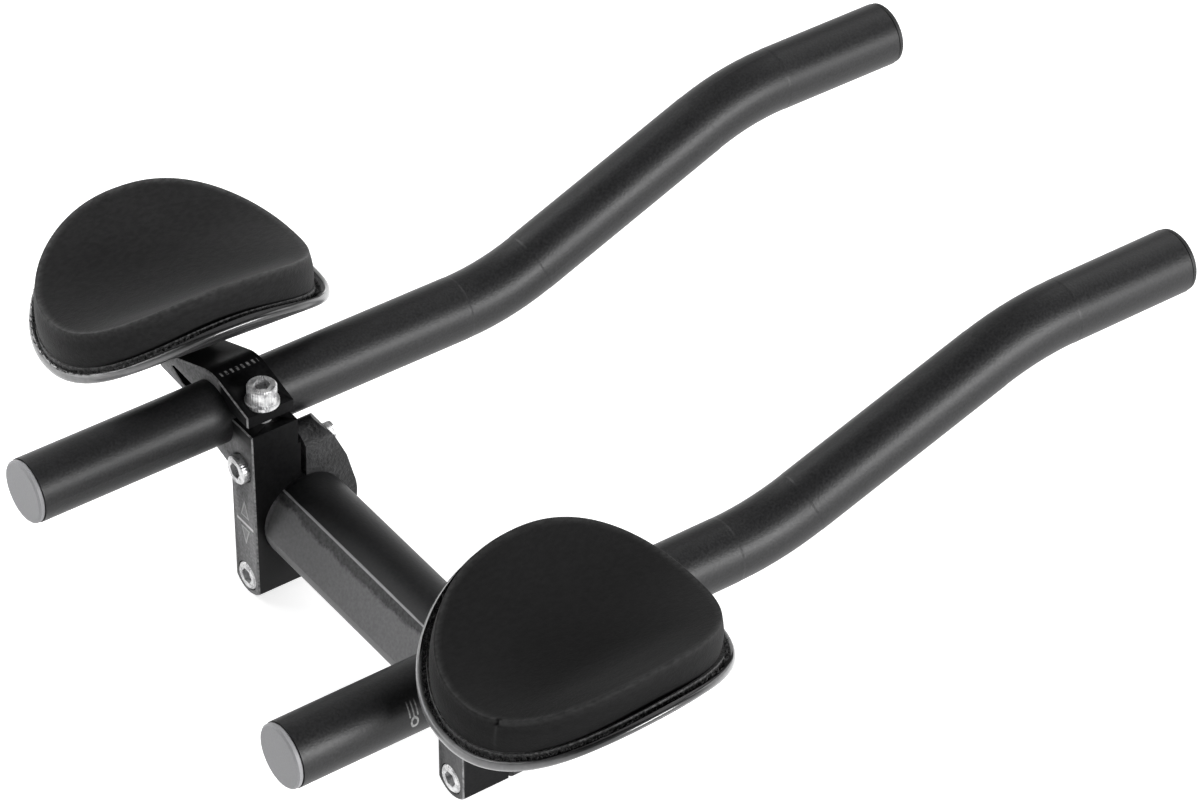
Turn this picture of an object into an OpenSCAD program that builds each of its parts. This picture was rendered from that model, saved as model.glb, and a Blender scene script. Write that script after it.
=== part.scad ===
// Clip-on time-trial handlebar: two S-bend extension bars in slit clamps, a
// 31.8 mm crossbar, and a padded forearm cup carried on an arm on each side.
// The origin is the middle of the crossbar. +X is the rider's right, +Y the way
// the extensions point, +Z up. Left-hand parts are drawn, right-hand ones mirrored.
// All sizes are in millimetres.

/* [Output] */
// Sub-part to draw, or all of them

/* [Extension bars] */
// Outside diameter of an extension bar
bar_d = 22.2; // [20:0.1:26]
// Wall thickness of an extension bar
bar_wall = 2; // [1.2:0.1:3]
// Distance between the two extension bars
bar_spacing = 150; // [140:1:190]
// Height of the extension bars above the crossbar
bar_height = 37.2; // [34:0.1:44]
// How far the bars reach behind the crossbar
bar_rear = 92.5; // [70:0.5:140]
// Length of the straight rear part
rear_straight = 168; // [140:1:220]
// Length of the rising part between the two bends
middle_straight = 76; // [30:1:120]
// Length of the straight front part, the grip
front_straight = 49; // [30:1:120]
// Angle of each of the two bends
bend_angle = 21; // [8:1:35]
// Radius of the bends at the middle of the bar
bend_radius = 87; // [50:1:140]
// How much thinner the bar is in its bends, in radius
bend_slim = 0.08; // [0.05:0.01:0.3]
// Outward lean of the bends, set by turning the bar in its clamp
bar_roll = 3.5; // [0:0.5:20]
// Thickness of the visible rim of an end plug
plug_rim = 2.2; // [1:0.1:5]
// Length of the part of a plug that sits inside the bar
plug_depth = 14; // [6:1:25]

/* [Crossbar] */
// Diameter of the crossbar
crossbar_d = 31.8; // [31:0.1:33]
// Wall thickness of the crossbar
crossbar_wall = 2.6; // [2:0.1:4]
// Distance from the middle of the crossbar to the rear flat
flat_depth = 13.5; // [13.2:0.1:15.5]
// Direction in which the rear flat faces, above straight back
flat_angle = 27; // [10:1:45]
// How much slimmer, in radius, the crossbar is turned where a clamp grips it
seat_step = 0.2; // [0.2:0.05:0.5]

/* [Clamps] */
// Width of a crossbar clamp along the crossbar
clamp_w = 14; // [12.5:0.5:16]
// Distance from the middle of the frame to the inner face of a clamp
clamp_inner = 52.5; // [50.5:0.1:55]
// Thickness of the clamp wall behind the crossbar
clamp_back = 4.1; // [3:0.1:6]
// Opening of the slit between the two clamp halves
clamp_slit = 2; // [1:0.1:3]
// Thickness of the front clamp half around the crossbar
shell_wall = 4.9; // [3:0.1:6]
// Distance of a clamp bolt above or below the crossbar
bolt_offset = 23.6; // [22.5:0.1:25]
// Thread diameter of the clamp bolts and of the pinch bolt
bolt_d = 6; // [5:0.5:6]
// Wall thickness of the ring round an extension bar
ring_wall = 4; // [3:0.1:5]
// Opening of the slit in the ring
ring_slit = 2.4; // [1:0.1:3]
// How far the upper bolt head stands out of the clamp
upper_stand = 2.8; // [0:0.1:3]
// How far the lower bolt head stands out of the clamp
lower_stand = 0.3; // [0:0.1:3]
// Slant of the rear face, its foot further forward
back_draft = 1; // [0:0.1:2]

/* [Forearm cups] */
// Distance of a cup centre outboard of its extension bar
cup_out = 33.1; // [28:0.1:40]
// Height of the bottom of a cup above the extension bars
cup_rise = 12.6; // [12:0.1:22]
// Half width of a cup
cup_a = 42.1; // [38:0.1:50]
// Half length of a cup
cup_b = 49.4; // [46:0.1:56]
// Radius of the underside of the trough
cup_r = 55.2; // [54:0.1:70]
// Thickness of the cup
cup_t = 3; // [2.4:0.1:4]
// Sideways tilt of the cups, the inner edge up
cup_tilt = 4.7; // [0:0.1:8]
// Toe-in of the cups
cup_yaw = 3.4; // [0:0.1:12]
// Slide of the left cup along its slot
cup_slide_left = -0.2; // [-8:0.1:8]
// Slide of the right cup along its slot
cup_slide_right = 4.9; // [-8:0.1:8]
// How far forward the left pad is stuck on its cup
pad_shift_left = -1.5; // [-2:0.1:2]
// How far forward the right pad is stuck on its cup
pad_shift_right = -0.3; // [-2:0.1:2]
// Height of the riser under a cup
riser_h = 6; // [3:0.5:8]
// Thickness of the hook-and-loop sheet
loop_t = 1.8; // [1.7:0.1:3]
// Half width of a pad at its foot
pad_a = 39.3; // [34:0.1:41]
// Half length of a pad at its foot
pad_b = 46.5; // [40:0.1:47]
// How far the top edge of a pad is drawn in at each side
pad_draft = 3.7; // [0:0.1:8]
// Radius of the trough in the top of a pad
pad_r = 47.3; // [42:0.1:60]
// Thickness of a pad at the bottom of the trough
pad_t = 12.9; // [8:0.1:18]

/* [Hidden] */
// length over which a straight of a bar blends into a bend
bend_blend = 1.5;
// running gap between a clamp bore and the tube it grips
grip = 0.05;
// gap between a bolt and its threaded hole
thread_gap = 0.1;
// gap between a bolt and its clearance hole
hole_gap = 0.4;
bar_x = bar_spacing / 2;
bar_r = bar_d / 2;
cross_r = crossbar_d / 2;
clamp_x = clamp_inner + clamp_w / 2;
// width of the turned seat that shows on the inner side of a clamp
seat_edge = 1.5;
seat_r = cross_r - seat_step;
back_y = cross_r + clamp_back;
half_y = clamp_slit / 2;
jaw_y = half_y + 1;
ring_r = bar_r + ring_wall;
// rounding radius of the foot of a clamp
foot_r = 0.64 * clamp_w;
// lowest point of the seam between the web and the plate
web_foot = -18;
// top of the arm above the bar axis, a hair below the riser's seat, and its underside
arm_high = cup_rise - riser_h - 0.1;
arm_low = -3.6;
// depth of a lug of the front clamp half, its bevel, and the forging's brow
lug_depth = 11;
lug_bevel = 3;
brow = cross_r + 1;
// height above the casting at which the slanted rear face would be at back_y
draft_top = bar_height + ring_r + 3;
head_d = 1.67 * bolt_d;
head_h = bolt_d;
// width across flats of the key holes in the clamp and pinch bolts
key_w = 5;
// thread engaged by a clamp bolt and by the pinch bolt
clamp_thread = 14.5;
pinch_thread = 11.5;
arm_y = (back_y + jaw_y) / 2;
// height of the cap above the slit, where the pinch bolt seats
spot_z = bar_height + 10.4;
washer_t = 1.2;
washer_d = head_d + 1.6;
slit_z = bar_height + 4.8;
pinch_x = min(clamp_x, bar_x - bar_r - bolt_d / 2 - 1.2);
screw_d = 5;
screw_head_d = 9.6;
screw_head_h = 2.4;
// half the distance between the two screws of a cup
screw_gap = 5.6;
// depth of the screw seat above the underside of the cup
screw_seat = 1.8;
slot_half = 16;
// level of the arm's boss below the underside of the cup
arm_top = -riser_h;
boss_h = 10;
boss_r = min(boss_h - 1, (back_y - jaw_y) / 2 - 0.6);
$fn = 96;

// Point where the tangent from p touches a circle of radius r about the origin,
// sunk a hair so that the tangent crosses the circle.
function touch(p, r, s) = (r - 0.03) * [
  cos(atan2(p[1], p[0]) + s * acos(r / norm(p))),
  sin(atan2(p[1], p[0]) + s * acos(r / norm(p)))];

// Depth of a bolt seat behind the crossbar: upper bolt s = 1, lower bolt s = -1.
function seat_y(s, stand) = back_y + stand - head_h
  - (draft_top - s * bolt_offset) * tan(back_draft);

// Right-hand parts are mirror images of the left-hand ones.
module right_side() {
  mirror([1, 0, 0]) children();
}

// Frame of the left bar: its axis runs along +Y from the rear end.
module bar_frame() {
  translate([-bar_x, -bar_rear, bar_height]) rotate([0, -bar_roll, 0]) children();
}

// Cylinder along +Y.
module run(r, length) {
  rotate([-90, 0, 0]) cylinder(r = r, h = length);
}

// Straight of a rod along +Y, tapered into the bend before it, after it or both.
module straight(r, length, before, after) {
  start = before ? [[0, -bend_blend], [r - 2 * bend_slim, -bend_blend], [r, 0]] : [[0, 0], [r, 0]];
  finish = after ? [[r, length], [r - 2 * bend_slim, length + bend_blend], [0, length + bend_blend]]
    : [[r, length], [0, length]];
  rotate([-90, 0, 0]) rotate_extrude() polygon(concat(start, finish));
}

// Bend of a rod that points along +Y, up for s = 1 and down for s = -1. Bending
// has drawn the tube a little thinner there.
module bend(r, s) {
  translate([0, 0, s * bend_radius]) rotate([0, s * 90, 0])
    rotate_extrude(angle = bend_angle) translate([bend_radius, 0]) circle(r - bend_slim);
}

// Frame at the far end of such a bend.
module after_bend(s) {
  translate([0, 0, s * bend_radius]) rotate([s * bend_angle, 0, 0])
    translate([0, 0, -s * bend_radius]) children();
}

// The bar as one solid rod: straight, bend up, straight, bend down, straight.
module bar_rod(r, start, finish) {
  translate([0, start, 0]) straight(r, rear_straight - start, false, true);
  translate([0, rear_straight, 0]) {
    bend(r, 1);
    after_bend(1) {
      straight(r, middle_straight, true, true);
      translate([0, middle_straight, 0]) {
        bend(r, -1);
        after_bend(-1) straight(r, front_straight - finish, true, false);
      }
    }
  }
}

// Frame of the front end of the left bar, +Y still pointing out of the bar.
module bar_tip() {
  bar_frame() translate([0, rear_straight, 0]) after_bend(1)
    translate([0, middle_straight, 0]) after_bend(-1)
    translate([0, front_straight, 0]) children();
}

// Drawn alloy tube; the plugs' rims take up the first and the last millimetres.
module extension_bar() {
  color("#1c1c1d") bar_frame() difference() {
    bar_rod(bar_r, plug_rim, plug_rim);
    bar_rod(bar_r - bar_wall, -1, -1);
  }
}

// Moulded end plug along +Y: a rim as wide as the bar and a hollow spigot.
module end_plug() {
  spigot_r = bar_r - bar_wall - grip;
  difference() {
    union() {
      rotate([-90, 0, 0]) cylinder(r1 = bar_r - 0.9, r2 = bar_r - 0.3, h = 0.6);
      translate([0, 0.6, 0]) run(bar_r - 0.3, plug_rim - 0.6 - 0.5);
      translate([0, plug_rim - 0.5, 0]) run(bar_r - 0.8, 0.5);
      translate([0, plug_rim, 0]) run(spigot_r, plug_depth);
    }
    translate([0, plug_rim + 1, 0]) run(spigot_r - 1.6, plug_depth);
  }
}

module rear_plug() {
  color("#8d8d8f") bar_frame() end_plug();
}

module front_plug() {
  color("#1a1a1b") bar_tip() rotate([0, 0, 180]) end_plug();
}

// Tube along X, turned down a hair at both ends, with one long flat pressed into
// its rear between the clamps.
module crossbar() {
  length = 2 * (clamp_inner + clamp_w);
  color("#3a3a3c") difference() {
    rotate([0, 90, 0]) {
      cylinder(r = seat_r, h = length, center = true);
      cylinder(r = cross_r, h = 2 * (clamp_inner - seat_edge), center = true);
    }
    rotate([0, 90, 0]) cylinder(r = cross_r - crossbar_wall, h = length + 2, center = true);
    rotate([-flat_angle, 0, 0]) translate([0, -flat_depth - cross_r, 0])
      cube([2 * clamp_inner, 2 * cross_r, 3 * cross_r], center = true);
  }
}

// Side view of the slit ring, its cap and the arm, about the bar axis.
module jaw_outline() {
  nose = [bar_x - clamp_inner - 2.3, spot_z - bar_height];
  knee = [-24, arm_high];
  heel = [-20.5, -4.2];
  difference() {
    union() {
      circle(ring_r);
      polygon([nose, touch(nose, ring_r, 1), touch(knee, ring_r, -1), knee,
        [-cup_out, arm_high], [-cup_out, arm_low], heel, [0, 0], [nose[0], 0]]);
      polygon([[0, 0], heel, touch(heel, ring_r, 1)]);
    }
    circle(bar_r + grip);
    polygon([[-9, 1.7], [-25, 2.2], [-26.5, 1.1], [-20, -2], [-9, -2.4]]);
  }
}

// Plate that holds the crossbar, seen from behind, with its round foot.
module plate_outline(top) {
  foot = foot_r - bolt_offset - clamp_w / 2;
  intersection() {
    union() {
      translate([-clamp_x, foot]) circle(foot_r);
      translate([-clamp_x - clamp_w, foot]) square([2 * clamp_w, top - foot]);
    }
    translate([-clamp_x - clamp_w / 2, -2 * bolt_offset]) square([clamp_w, 4 * bolt_offset]);
  }
}

// What the round foot leaves off a square one.
module foot_corners() {
  low = -bolt_offset - clamp_w / 2;
  difference() {
    translate([-clamp_x - clamp_w, low - 1]) square([2 * clamp_w, 1 + foot_r]);
    plate_outline(0);
  }
}

// Web that blends the ring into the outer edge of the plate.
module web_outline() {
  corner = [bar_x - clamp_x - clamp_w / 2, web_foot];
  translate([-bar_x, bar_height]) polygon([corner, [corner[0] + 1, 0], [0, 0],
    touch(corner, ring_r, -1)]);
}

// Blank of the given outline between two depths behind the crossbar.
module slab(near, far) {
  translate([0, -near, 0]) rotate([90, 0, 0]) linear_extrude(far - near) children();
}

// One casting: rear clamp half, slit ring round the bar, and the cup's arm.
module clamp_body() {
  slit_top = slit_z + ring_slit / 2;
  slit_floor = slit_z - ring_slit / 2;
  color("#232325") difference() {
    union() {
      slab(half_y, back_y) plate_outline(bolt_offset + clamp_w / 2);
      slab(jaw_y, back_y) {
        plate_outline(slit_floor);
        translate([-bar_x, bar_height]) jaw_outline();
        web_outline();
      }
      arm_frame(0) translate([0, 0, arm_top - boss_h]) cylinder(r = boss_r, h = boss_h);
    }
    translate([-bar_x, -back_y - 1, bar_height]) run(bar_r + grip, back_y + 1);
    translate([-bar_x + bar_r - 2, -back_y - 1, slit_floor]) cube([30, back_y, ring_slit]);
    translate([-2 * bar_x, -back_y, draft_top]) rotate([back_draft, 0, 0])
      translate([0, -back_y, -3 * bar_x]) cube([2 * bar_x, back_y, 3 * bar_x]);
    rotate([0, -90, 0]) cylinder(r = seat_r + grip, h = 2 * bar_x);
    for (s = [[1, upper_stand], [-1, lower_stand]]) translate([-clamp_x, 0, s[0] * bolt_offset]) {
      rotate([90, 0, 0]) cylinder(r = (bolt_d + hole_gap) / 2, h = back_y + 1);
      translate([0, -back_y - 1, 0])
        rotate([-90, 0, 0]) cylinder(r = head_d / 2 + 0.4, h = 1 + back_y - seat_y(s[0], s[1]));
    }
    translate([-pinch_x, -arm_y, slit_floor - pinch_thread])
      cylinder(r = (bolt_d + thread_gap) / 2, h = pinch_thread + 1);
    translate([-pinch_x, -arm_y, slit_z]) cylinder(r = (bolt_d + hole_gap) / 2, h = 20);
    translate([-pinch_x, -arm_y, spot_z]) cylinder(r = washer_d / 2 + 0.4, h = 20);
    cup_screw_places() translate([0, 0, arm_top - boss_h - 2])
      cylinder(r = (screw_d + thread_gap) / 2, h = boss_h + 2);
  }
}

// Side view of the front clamp half: two lugs for the bolts, each running over a
// brow into the round shell.
module lug_outline(r) {
  lug = bolt_offset + clamp_w / 2;
  face = half_y + lug_depth;
  for (s = [0, 1]) mirror([0, s]) polygon([[half_y, 0], touch([brow, brow], r, -1),
    [brow, brow], [face, lug - lug_bevel], [face - lug_bevel, lug], [half_y, lug]]);
}

// Front clamp half: a rough forging, threaded for the two bolts.
module clamp_front() {
  r = cross_r + shell_wall;
  color("#2b2b2d") difference() {
    translate([-clamp_x - clamp_w / 2, 0, 0]) {
      rotate([0, 90, 0]) cylinder(r = r, h = clamp_w);
      rotate([90, 0, 90]) linear_extrude(clamp_w) lug_outline(r);
    }
    translate([-2 * bar_x, half_y - 2 * r, -2 * r]) cube([2 * bar_x, 2 * r, 4 * r]);
    rotate([0, -90, 0]) cylinder(r = seat_r + grip, h = 2 * bar_x);
    for (s = [-1, 1]) translate([-clamp_x, 0, s * bolt_offset])
      rotate([-90, 0, 0]) cylinder(r = (bolt_d + thread_gap) / 2, h = 2 * r);
    for (s = [0, 1]) mirror([0, 0, s]) slab(-2 * r, 0) foot_corners();
  }
}

// Socket-head screw along +Z: the underside of its head is at z = 0.
module socket_screw(d, length, head, height, key) {
  difference() {
    union() {
      translate([0, 0, -length]) cylinder(r = d / 2, h = length);
      cylinder(r = head / 2, h = height - 0.5);
      translate([0, 0, height - 0.5]) cylinder(r1 = head / 2, r2 = head / 2 - 0.5, h = 0.5);
    }
    translate([0, 0, height * 0.45]) cylinder(r = key / sqrt(3), h = height, $fn = 6);
  }
}

// Clamp bolt from the rear through the body into the front half.
module clamp_bolt(s, stand) {
  seat = seat_y(s, stand);
  color("#c9c9cc") translate([-clamp_x, -seat, s * bolt_offset]) rotate([90, 0, 0])
    socket_screw(bolt_d, seat + half_y + clamp_thread, head_d, head_h, key_w);
}

// Bolt that closes the slit ring on the extension bar.
module pinch_bolt() {
  color("#c9c9cc") translate([-pinch_x, -arm_y, spot_z + washer_t])
    socket_screw(bolt_d, spot_z + washer_t - slit_z + pinch_thread, head_d, head_h, key_w);
}

module pinch_washer() {
  color("#b9b9bc") translate([-pinch_x, -arm_y, spot_z]) difference() {
    cylinder(r = washer_d / 2, h = washer_t);
    translate([0, 0, -1]) cylinder(r = (bolt_d + hole_gap) / 2, h = washer_t + 2);
  }
}

// Frame of the left cup: X inboard, Y forward, Z up from the bottom of the trough,
// slid forward by the given distance.
module arm_frame(slide) {
  translate([-bar_x - cup_out, -arm_y, bar_height + cup_rise]) rotate([0, 0, -cup_yaw])
    rotate([0, -cup_tilt, 0]) translate([0, slide, 0]) children();
}

module cup_screw_places() {
  for (s = [-1, 1]) arm_frame(s * screw_gap) children();
}

// Oval of four arcs, half width a and half length b, a little fuller than an ellipse.
module oval(a, b) {
  full = 0.728;
  side = (pow((1 - full) * a, 2) + pow(full * b, 2)) / (2 * (1 - full) * a);
  tip = (pow((1 - full) * b, 2) + pow(full * a, 2)) / (2 * (1 - full) * b);
  intersection() {
    translate([a - side, 0]) circle(side);
    translate([side - a, 0]) circle(side);
    union() {
      square([3 * a, 1.7 * full * b], center = true);
      translate([0, b - tip]) circle(tip);
      translate([0, tip - b]) circle(tip);
    }
  }
}

// Trough: a long cylinder along Y whose lowest line is at the given height.
module trough(r, bottom) {
  translate([0, 0, bottom + r]) rotate([90, 0, 0]) cylinder(r = r, h = 3 * cup_b, center = true);
}

// Slot along Y with round ends.
module slot(width, half, low, high) {
  for (s = [-1, 1]) translate([0, s * half, low]) cylinder(r = width / 2, h = high - low);
  translate([-width / 2, -half, low]) cube([width, 2 * half, high - low]);
}

// Spacer between the arm and the trough of the cup.
module riser() {
  color("#1d1d1e") difference() {
    arm_frame(0) translate([0, 0, arm_top]) cylinder(r = boss_r, h = riser_h + 4);
    arm_frame(0) trough(cup_r, 0);
    cup_screw_places() translate([0, 0, arm_top - 1])
      cylinder(r = (screw_d + hole_gap) / 2, h = riser_h + 8);
  }
}

// Dished cup with a slot for its two screws.
module arm_cup(slide) {
  color("#55565a") arm_frame(slide) difference() {
    intersection() {
      linear_extrude(0.8 * cup_r) oval(cup_a, cup_b);
      trough(cup_r, 0);
    }
    trough(cup_r - cup_t, cup_t);
    slot(screw_d + hole_gap, slot_half, -1, cup_t + 4);
    slot(screw_head_d + 0.8, slot_half, screw_seat, cup_t + 4);
  }
}

module cup_screw(s) {
  color("#b4b4b6") arm_frame(s * screw_gap) translate([0, 0, screw_seat])
    socket_screw(screw_d, screw_seat + riser_h + boss_h - 1, screw_head_d, screw_head_h, 3);
}

// Hook-and-loop sheet, open along the middle over the screws.
module hook_loop(slide) {
  color("#0e0e0f") arm_frame(slide) difference() {
    intersection() {
      linear_extrude(0.8 * cup_r) oval(pad_a + 0.5, pad_b + 0.5);
      trough(cup_r - cup_t, cup_t);
    }
    trough(cup_r - cup_t - loop_t, cup_t + loop_t);
    slot(screw_head_d + 2.4, slot_half + 2, 0, cup_t + loop_t + 4);
  }
}

// Foam pad: drafted wall, hollowed on top like the cup.
module pad(slide) {
  foot = cup_t + loop_t;
  crown = foot + pad_t + pad_r - sqrt(pad_r * pad_r - pad_a * pad_a) + 1;
  color("#141415") arm_frame(slide) difference() {
    intersection() {
      hull() {
        linear_extrude(0.1) oval(pad_a, pad_b, $fn = 64);
        translate([0, 0, crown]) linear_extrude(0.1)
          oval(pad_a - pad_draft, pad_b - 0.25 * pad_draft, $fn = 64);
      }
      trough(cup_r - foot, foot);
    }
    trough(pad_r, foot + pad_t);
  }
}

extension_bar();  // extension_bar_left
right_side() extension_bar();  // extension_bar_right
rear_plug();  // rear_plug_left
right_side() rear_plug();  // rear_plug_right
front_plug();  // front_plug_left
right_side() front_plug();  // front_plug_right
crossbar();
clamp_body();  // clamp_body_left
right_side() clamp_body();  // clamp_body_right
clamp_front();  // clamp_front_left
right_side() clamp_front();  // clamp_front_right
clamp_bolt(1, upper_stand);  // clamp_bolt_upper_left
right_side() clamp_bolt(1, upper_stand);  // clamp_bolt_upper_right
clamp_bolt(-1, lower_stand);  // clamp_bolt_lower_left
right_side() clamp_bolt(-1, lower_stand);  // clamp_bolt_lower_right
pinch_bolt();  // pinch_bolt_left
right_side() pinch_bolt();  // pinch_bolt_right
pinch_washer();  // pinch_washer_left
right_side() pinch_washer();  // pinch_washer_right
riser();  // riser_left
right_side() riser();  // riser_right
arm_cup(cup_slide_left);  // arm_cup_left
right_side() arm_cup(cup_slide_right);  // arm_cup_right
cup_screw(1);  // cup_screw_front_left
right_side() cup_screw(1);  // cup_screw_front_right
cup_screw(-1);  // cup_screw_rear_left
right_side() cup_screw(-1);  // cup_screw_rear_right
hook_loop(cup_slide_left + pad_shift_left);  // hook_loop_left
right_side() hook_loop(cup_slide_right + pad_shift_right);  // hook_loop_right
pad(cup_slide_left + pad_shift_left);  // pad_left
right_side() pad(cup_slide_right + pad_shift_right);  // pad_right
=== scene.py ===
import bmesh
import bpy
import numpy as np
from mathutils import Matrix, Vector


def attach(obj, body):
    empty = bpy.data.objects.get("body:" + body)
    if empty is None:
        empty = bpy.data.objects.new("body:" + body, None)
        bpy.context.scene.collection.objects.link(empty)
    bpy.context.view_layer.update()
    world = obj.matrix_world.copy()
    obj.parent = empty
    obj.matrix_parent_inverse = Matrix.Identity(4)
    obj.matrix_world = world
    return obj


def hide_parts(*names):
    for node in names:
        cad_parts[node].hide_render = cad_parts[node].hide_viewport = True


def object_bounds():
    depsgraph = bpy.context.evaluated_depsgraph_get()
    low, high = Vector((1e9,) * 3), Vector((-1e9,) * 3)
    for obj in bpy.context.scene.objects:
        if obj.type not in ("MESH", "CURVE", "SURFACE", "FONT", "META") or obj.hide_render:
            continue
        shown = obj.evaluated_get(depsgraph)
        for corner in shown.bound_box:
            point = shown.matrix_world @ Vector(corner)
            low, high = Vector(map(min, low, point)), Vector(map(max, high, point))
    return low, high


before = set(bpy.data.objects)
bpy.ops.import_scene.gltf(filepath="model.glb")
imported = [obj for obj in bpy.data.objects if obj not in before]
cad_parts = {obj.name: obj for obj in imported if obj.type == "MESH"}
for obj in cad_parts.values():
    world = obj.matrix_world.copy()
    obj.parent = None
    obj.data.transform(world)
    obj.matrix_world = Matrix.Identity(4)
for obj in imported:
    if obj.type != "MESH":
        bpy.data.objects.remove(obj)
cad_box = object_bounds()
scene = bpy.context.scene
MM = 0.001

# Camera: a long lens from behind, above and to the right. The lens, the aim and the
# small roll come from fitting the two straight bars in the photograph.
AIM = np.array([-6.625, 86.162, 37.2]) * MM
AZIMUTH, ELEVATION, ROLL = np.radians([53.366, 39.426, 1.373])
DISTANCE = 1752.08 * MM
SENSOR = 36.0
FOCAL_PIXELS, PHOTO_WIDTH = 5347.3, 1200
FAR_CLIP = 20.0


def camera_axes():
    """Right, up and back of the camera: the back axis from the two angles, then right and
    up turned about it by the roll."""
    back = np.array([np.sin(AZIMUTH) * np.cos(ELEVATION),
                     -np.cos(AZIMUTH) * np.cos(ELEVATION), np.sin(ELEVATION)])
    right = np.array([np.cos(AZIMUTH), np.sin(AZIMUTH), 0.0])
    up = np.cross(back, right)
    return (right * np.cos(ROLL) + up * np.sin(ROLL),
            up * np.cos(ROLL) - right * np.sin(ROLL), back)


camera_data = bpy.data.cameras.new("camera")
camera_data.sensor_width = SENSOR
camera_data.lens = FOCAL_PIXELS / PHOTO_WIDTH * SENSOR
camera_data.clip_end = FAR_CLIP
camera = bpy.data.objects.new("camera", camera_data)
right, up, back = camera_axes()
placed = Matrix(np.column_stack([right, up, back]).tolist()).to_4x4()
placed.translation = Vector(AIM + back * DISTANCE)
camera.matrix_world = placed
scene.collection.objects.link(camera)
scene.camera = camera

# Studio: a white table under a dark ceiling. A strong soft light from the right draws
# the streak along the bars, and weak ones fill in from the left, front and rear.
scene.view_settings.view_transform = "Standard"
WHITE = (1.0, 1.0, 1.0, 1.0)
AMBIENT = 0.38
PAPER, PAPER_GLOW = (0.82, 0.82, 0.82, 1.0), 0.74
TABLE_HALF, TABLE_GAP = 3.0, 0.2 * MM
CEILING, CEILING_HALF, CEILING_HEIGHT = (0.05, 0.05, 0.05, 1.0), 4.0, 1.8
MIDDLE = (0.0, 0.08, 0.03)


class Wire:
    """A shader socket that takes part in sums: each operation adds its Math node."""

    def __init__(self, tree, socket):
        self.tree, self.socket = tree, socket

    def math(self, operation, *terms):
        """The result of a Math node on these terms, each a Wire or a number."""
        node = self.tree.nodes.new("ShaderNodeMath")
        node.operation = operation
        for slot, term in zip(node.inputs, terms):
            if isinstance(term, Wire):
                self.tree.links.new(term.socket, slot)
            else:
                slot.default_value = term
        return Wire(self.tree, node.outputs[0])

    def __add__(self, other):
        return self.math("ADD", self, other)

    def __sub__(self, other):
        return self.math("SUBTRACT", self, other)

    def __mul__(self, other):
        return self.math("MULTIPLY", self, other)

    def __truediv__(self, other):
        return self.math("DIVIDE", self, other)

    def __rsub__(self, other):
        return self.math("SUBTRACT", other, self)

    __radd__, __rmul__ = __add__, __mul__

    def size(self):
        return self.math("ABSOLUTE", self)

    def squared(self):
        return self.math("MULTIPLY", self, self)

    def root(self):
        return self.math("SQRT", self)

    def sine(self):
        return self.math("SINE", self)

    def fraction(self):
        return self.math("FRACT", self)

    def larger(self, other):
        return self.math("MAXIMUM", self, other)

    def angle_over(self, other):
        return self.math("ARCTAN2", self, other)

    def ramp(self, low, high):
        """0 at low and 1 at high, straight between, clamped outside."""
        node = self.tree.nodes.new("ShaderNodeMapRange")
        self.tree.links.new(self.socket, node.inputs["Value"])
        node.inputs["From Min"].default_value = low
        node.inputs["From Max"].default_value = high
        return Wire(self.tree, node.outputs["Result"])

    def above(self, edge, softness):
        """0 below the edge, 1 above it, with a ramp as wide as the softness."""
        return self.ramp(edge - softness / 2, edge + softness / 2)

    def below(self, edge, softness):
        """1 below the edge, 0 above it, with a ramp as wide as the softness."""
        return 1 - self.above(edge, softness)


class Finish:
    """A material: its shader tree, and one method that adds any node to it."""

    def __init__(self, name, owner=None):
        self.material = owner or bpy.data.materials.new(name)
        self.material.use_nodes = True
        self.tree = self.material.node_tree
        self.tree.nodes.clear()

    def add(self, kind, settings=None, out=0, **values):
        """Adds a node of the kind, sets its settings and then its sockets. Sockets are
        named with _ for a space, or numbered as in0, in1; out picks the result."""
        node = self.tree.nodes.new("ShaderNode" + kind)
        for name, value in (settings or {}).items():
            setattr(node, name, value)
        for name, value in values.items():
            number = name[2:] if name.startswith("in") and name[2:].isdigit() else None
            slot = node.inputs[int(number)] if number else node.inputs[name.replace("_", " ")]
            if isinstance(value, Wire):
                self.tree.links.new(value.socket, slot)
            else:
                slot.default_value = value
        return Wire(self.tree, node.outputs[out])

    def mix(self, factor, low, high):
        """Colour between low and high, each an RGB colour or a socket."""
        full = [c if isinstance(c, Wire) else (*c, 1.0) for c in (low, high)]
        return self.add("Mix", {"data_type": "RGBA"}, out=2,
                        in0=factor, in6=full[0], in7=full[1])

    def place(self):
        """The place on the object: its x, y and z as three sockets."""
        spot = self.add("TexCoord", out="Object")
        parts = self.tree.nodes.new("ShaderNodeSeparateXYZ")
        self.tree.links.new(spot.socket, parts.inputs[0])
        return [Wire(self.tree, s) for s in parts.outputs]

    def noise(self, scale, detail=2.0, stretch=(1, 1, 1), roughness=0.5):
        """Cloudy noise from 0 to 1 on the object's own place, stretched by axis."""
        spot = self.add("TexCoord", out="Object")
        spot = self.add("Mapping", Vector=spot, Scale=stretch)
        return self.add("TexNoise", Vector=spot, Scale=scale, Detail=detail,
                        Roughness=roughness)

    def bump(self, height, distance, strength):
        """Normal from a height that runs from 0 to 1 over the distance."""
        return self.add("Bump", Height=height, Distance=distance, Strength=strength)

    def surface(self, **values):
        """The Principled shader with these sockets, wired to the output."""
        self.finish_with(self.add("BsdfPrincipled", **values))
        return self

    def finish_with(self, shader):
        """Wires the shader to the output of the material or the world."""
        kind = "World" if isinstance(self.material, bpy.types.World) else "Material"
        output = self.tree.nodes.new("ShaderNodeOutput" + kind)
        self.tree.links.new(shader.socket, output.inputs["Surface"])


def seen_white(finish):
    """1 for rays from the camera, a mirror or glass, which see the white studio."""
    paths = finish.tree.nodes.new("ShaderNodeLightPath").outputs
    seen, mirrored, through = [Wire(finish.tree, paths[name]) for name in
                               ("Is Camera Ray", "Is Glossy Ray", "Is Transmission Ray")]
    return seen.larger(mirrored).larger(through)


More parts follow.
